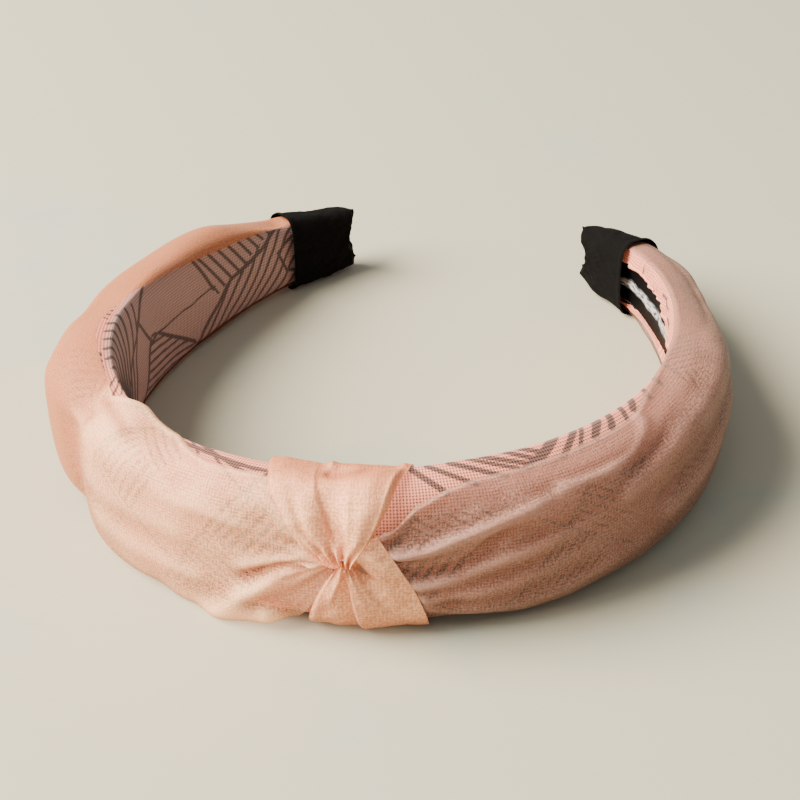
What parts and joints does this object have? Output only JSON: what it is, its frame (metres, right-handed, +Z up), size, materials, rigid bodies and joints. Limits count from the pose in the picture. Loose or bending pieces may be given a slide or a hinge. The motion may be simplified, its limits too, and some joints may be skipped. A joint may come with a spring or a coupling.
{
  "type": "knotted headband",
  "caption": "Padded C-shaped hair band in printed cloth with a sheer gathered overlay, a front knot and taped ends; both arms spring open.",
  "frame": {"origin": "centre of the outline at table height, with the band standing on its long edge", "axes": "+Z up, along the width of the band; -Y towards the knot at the front of the crown; +Y towards the two tips; +X to the right seen from the knot"},
  "size_m": [0.1532, 0.1654, 0.0368],
  "materials": {
    "core_plastic": "satin",
    "black_satin": "satin ribbon",
    "foam": "open-cell foam",
    "printed_cloth": "mesh weave with a printed dark line pattern",
    "organza": "sheer, glittery",
    "knot_organza": "sheer, gathered",
    "thread": "sewing thread",
    "black_tape": "matte woven tape"
  },
  "bodies": {
    "crown": {"core_band": "core_plastic", "satin_lining": "black_satin", "foam_pad": "foam", "printed_cover": "printed_cloth", "knot_strip": "knot_organza", "gather_thread": "thread", "knot_back_stitch": "thread"},
    "left_arm": {"organza_left": "organza", "tip_wrap_left": "black_tape"},
    "right_arm": {"organza_right": "organza", "tip_wrap_right": "black_tape"}
  },
  "joints": [
    {"name": "left_flex", "type": "hinge", "parent": "crown", "child": "left_arm", "pos_m": [-0.02757, -0.06334, 0.0184], "axis": [0, 0, 1], "range_deg": [-8, 12], "stiffness_Nm_per_rad": 1.5, "deforming": ["core_band", "satin_lining", "foam_pad", "printed_cover", "organza_left"]},
    {"name": "right_flex", "type": "hinge", "parent": "crown", "child": "right_arm", "pos_m": [0.03025, -0.06023, 0.0184], "axis": [0, 0, -1], "range_deg": [-8, 12], "stiffness_Nm_per_rad": 1.5, "deforming": ["core_band", "satin_lining", "foam_pad", "printed_cover", "organza_right"]}
  ]
}
